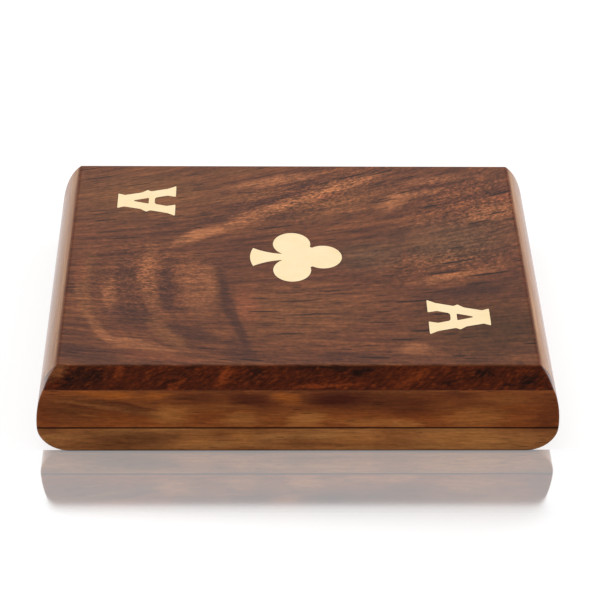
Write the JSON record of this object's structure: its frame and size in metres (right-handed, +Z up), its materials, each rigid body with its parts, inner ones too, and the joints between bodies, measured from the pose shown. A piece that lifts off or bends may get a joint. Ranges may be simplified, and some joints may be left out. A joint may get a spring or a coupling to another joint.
{
  "type": "playing card box",
  "caption": "Low hardwood box for packs of playing cards, with rounded ends, a hinged lid with a bevelled front edge and flush brass inlays.",
  "frame": {"origin": "middle of the underside of the box", "axes": "+X along the width, -Y towards the front, +Z up, lid closed"},
  "size_m": [0.158, 0.1138, 0.03],
  "materials": {
    "sheesham_top": "lacquered",
    "sheesham_rail": "lacquered",
    "bottom_board": "sanded",
    "brass_inlay": "polished",
    "brass_hinge": "satin",
    "brass_screw": "satin",
    "wool_felt": "matt"
  },
  "bodies": {
    "base": {"base_front_rail": "sheesham_rail", "base_back_rail": "sheesham_rail", "base_left_end": "sheesham_rail", "base_right_end": "sheesham_rail", "base_bottom_panel": "bottom_board", "card_divider": "sheesham_rail", "left_well_felt": "wool_felt", "right_well_felt": "wool_felt", "left_hinge_base_leaf": "brass_hinge", "right_hinge_base_leaf": "brass_hinge", "left_hinge_pin": "brass_hinge", "right_hinge_pin": "brass_hinge", "base_hinge_screws": "brass_screw"},
    "lid": {"lid_top_panel": "sheesham_top", "lid_front_rail": "sheesham_rail", "lid_back_rail": "sheesham_rail", "lid_left_end": "sheesham_rail", "lid_right_end": "sheesham_rail", "inlay_club": "brass_inlay", "inlay_ace_left": "brass_inlay", "inlay_ace_right": "brass_inlay", "left_hinge_lid_leaf": "brass_hinge", "right_hinge_lid_leaf": "brass_hinge", "lid_hinge_screws": "brass_screw"}
  },
  "joints": [
    {"name": "lid_hinge", "type": "hinge", "parent": "base", "child": "lid", "pos_m": [0, 0.057, 0.0095], "axis": [-1, 0, 0], "range_deg": [0, 123]}
  ]
}
